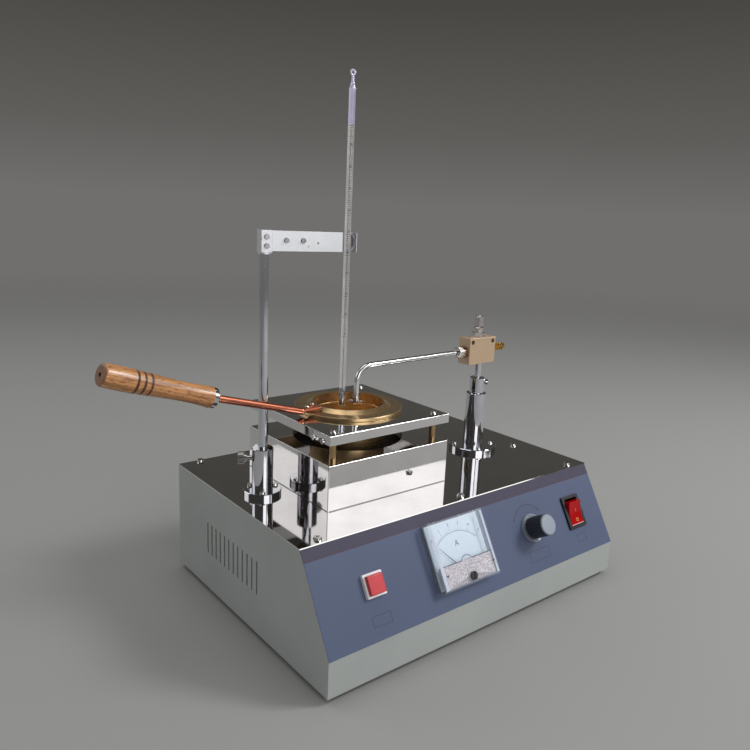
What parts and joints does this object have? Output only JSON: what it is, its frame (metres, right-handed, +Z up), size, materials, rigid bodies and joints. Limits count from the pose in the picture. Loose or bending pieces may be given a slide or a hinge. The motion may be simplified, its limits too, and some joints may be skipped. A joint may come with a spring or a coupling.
{
  "type": "flash point tester",
  "caption": "Bench open cup flash point tester: sloped control housing, mirror furnace, brass cup with wooden handle, thermometer post and a swinging gas flame applicator.",
  "frame": {"origin": "on the bench, under the middle of the whole instrument's bounding box", "axes": "+Z up, +X to the right along the front, +Y to the back"},
  "size_m": [0.4496, 0.2528, 0.4512],
  "materials": {
    "grey_paint": "fine satin",
    "zinc_sheet": "dull",
    "rubber": "matt",
    "dark_mirror_steel": "mirror polished",
    "chrome": "polished",
    "slate_film": "satin printed film",
    "black_plastic": "satin",
    "board": "lacquered",
    "mirror_steel": "mirror polished",
    "ceramic": "fired fibre",
    "dark_steel": "oxidised",
    "brass": "turned",
    "copper": "drawn rod",
    "wood": "turned, waxed",
    "aluminium": "brushed",
    "glass": "clear",
    "mercury": "liquid",
    "champagne_aluminium": "anodised",
    "dial_white": "printed",
    "clear_plastic": "clear",
    "speckled_plastic": "speckled",
    "white_plastic": "gloss",
    "red_plastic": "gloss",
    "knob_plastic": "ribbed, grey face"
  },
  "bodies": {
    "base": {"housing_shell": "grey_paint", "bottom_plate": "zinc_sheet", "rubber_foot_1": "rubber", "rubber_foot_2": "rubber", "rubber_foot_3": "rubber", "rubber_foot_4": "rubber", "top_panel": "dark_mirror_steel", "panel_screws": "chrome", "front_overlay": "slate_film", "power_inlet": "black_plastic", "control_board": "board", "furnace_box": "mirror_steel", "furnace_screws": "chrome", "insulation_block": "ceramic", "heater_coil": "dark_steel", "hot_plate": "dark_steel", "support_plate": "mirror_steel", "plate_pillar_1": "brass", "plate_pillar_2": "brass", "plate_pillar_3": "brass", "plate_pillar_4": "brass", "plate_screws": "chrome", "post_base": "chrome", "column_base": "chrome", "flange_screws": "chrome", "meter_case": "black_plastic", "meter_dial": "dial_white", "meter_cover": "clear_plastic", "meter_mask": "speckled_plastic", "button_bezel": "white_plastic", "regulator_pot": "zinc_sheet", "rocker_frame": "black_plastic"},
    "cup": {"test_cup": "brass", "cup_handle_rod": "copper", "cup_rivets": "brass", "handle_ferrule": "chrome", "wooden_handle": "wood"},
    "post": {"post_rod": "chrome"},
    "arm": {"arm_clamp": "aluminium", "thermometer_arm": "aluminium", "arm_screws": "chrome", "thermometer_clip": "aluminium"},
    "thermometer": {"thermometer_glass": "glass", "thermometer_mercury": "mercury"},
    "thumbscrew": {"post_thumbscrew": "chrome"},
    "bush": {"column_bush": "chrome"},
    "set_screw": {"column_set_screw": "chrome"},
    "applicator": {"applicator_stem": "chrome", "valve_block": "champagne_aluminium", "valve_gland": "chrome", "tube_nut": "chrome", "gas_tube": "chrome", "gas_nozzle": "chrome", "hose_barb": "brass"},
    "valve_knob": {"needle_knob": "chrome"},
    "heat_knob": {"regulator_knob": "knob_plastic"},
    "rocker": {"rocker_cap": "red_plastic"},
    "button": {"button_cap": "red_plastic"},
    "meter_pointer": {"meter_needle": "black_plastic"},
    "zero_screw": {"meter_zero_screw": "black_plastic"}
  },
  "joints": [
    {"name": "cup_lift", "type": "slide", "parent": "base", "child": "cup", "axis": [0, 0, 1], "range_m": [0, 0.03]},
    {"name": "post_height", "type": "slide", "parent": "base", "child": "post", "axis": [0, 0, 1], "range_m": [0, 0.02]},
    {"name": "arm_swing", "type": "hinge", "parent": "post", "child": "arm", "pos_m": [-0.08493, 0.02239, 0.3068], "axis": [0, 0, 1], "range_deg": [-6, 80]},
    {"name": "thermometer_slide", "type": "slide", "parent": "arm", "child": "thermometer", "axis": [0, 0, 1], "range_m": [-0.027, 0.03]},
    {"name": "thumbscrew_turn", "type": "hinge", "parent": "base", "child": "thumbscrew", "pos_m": [-0.08493, 0.02239, 0.1356], "axis": [-0.866, 0.5, 0], "range_deg": [-180, 180]},
    {"name": "applicator_swing", "type": "hinge", "parent": "base", "child": "bush", "pos_m": [0.16127, 0.01239, 0.1642], "axis": [0, 0, 1], "range_deg": [-40, 50]},
    {"name": "set_screw_turn", "type": "hinge", "parent": "bush", "child": "set_screw", "pos_m": [0.16127, 0.01239, 0.1754], "axis": [0.8192, -0.5736, 0], "range_deg": [-180, 180]},
    {"name": "applicator_height", "type": "slide", "parent": "bush", "child": "applicator", "axis": [0, 0, 1], "range_m": [0, 0.02]},
    {"name": "needle_valve_turn", "type": "hinge", "parent": "applicator", "child": "valve_knob", "pos_m": [0.15947, 0.01429, 0.2222], "axis": [0, 0, 1], "range_deg": [0, 360]},
    {"name": "heat_knob_turn", "type": "hinge", "parent": "base", "child": "heat_knob", "pos_m": [0.12127, -0.10364, 0.06759], "axis": [0, 0.8629, -0.5054], "range_deg": [0, 300]},
    {"name": "rocker_tilt", "type": "hinge", "parent": "base", "child": "rocker", "pos_m": [0.18367, -0.10092, 0.06727], "axis": [1, 0, 0], "range_deg": [-26, 0]},
    {"name": "button_press", "type": "slide", "parent": "base", "child": "button", "axis": [0, 0.8629, -0.5054], "range_m": [0, 0.003], "stiffness_N_per_m": 400},
    {"name": "pointer_swing", "type": "hinge", "parent": "base", "child": "meter_pointer", "pos_m": [0.02677, -0.11397, 0.05846], "axis": [0, 0.8629, -0.5054], "range_deg": [0, 82], "stiffness_Nm_per_rad": 0.0004},
    {"name": "zero_screw_turn", "type": "hinge", "parent": "base", "child": "zero_screw", "pos_m": [0.02927, -0.12103, 0.05668], "axis": [0, -0.8629, 0.5054], "range_deg": [-45, 45]}
  ]
}
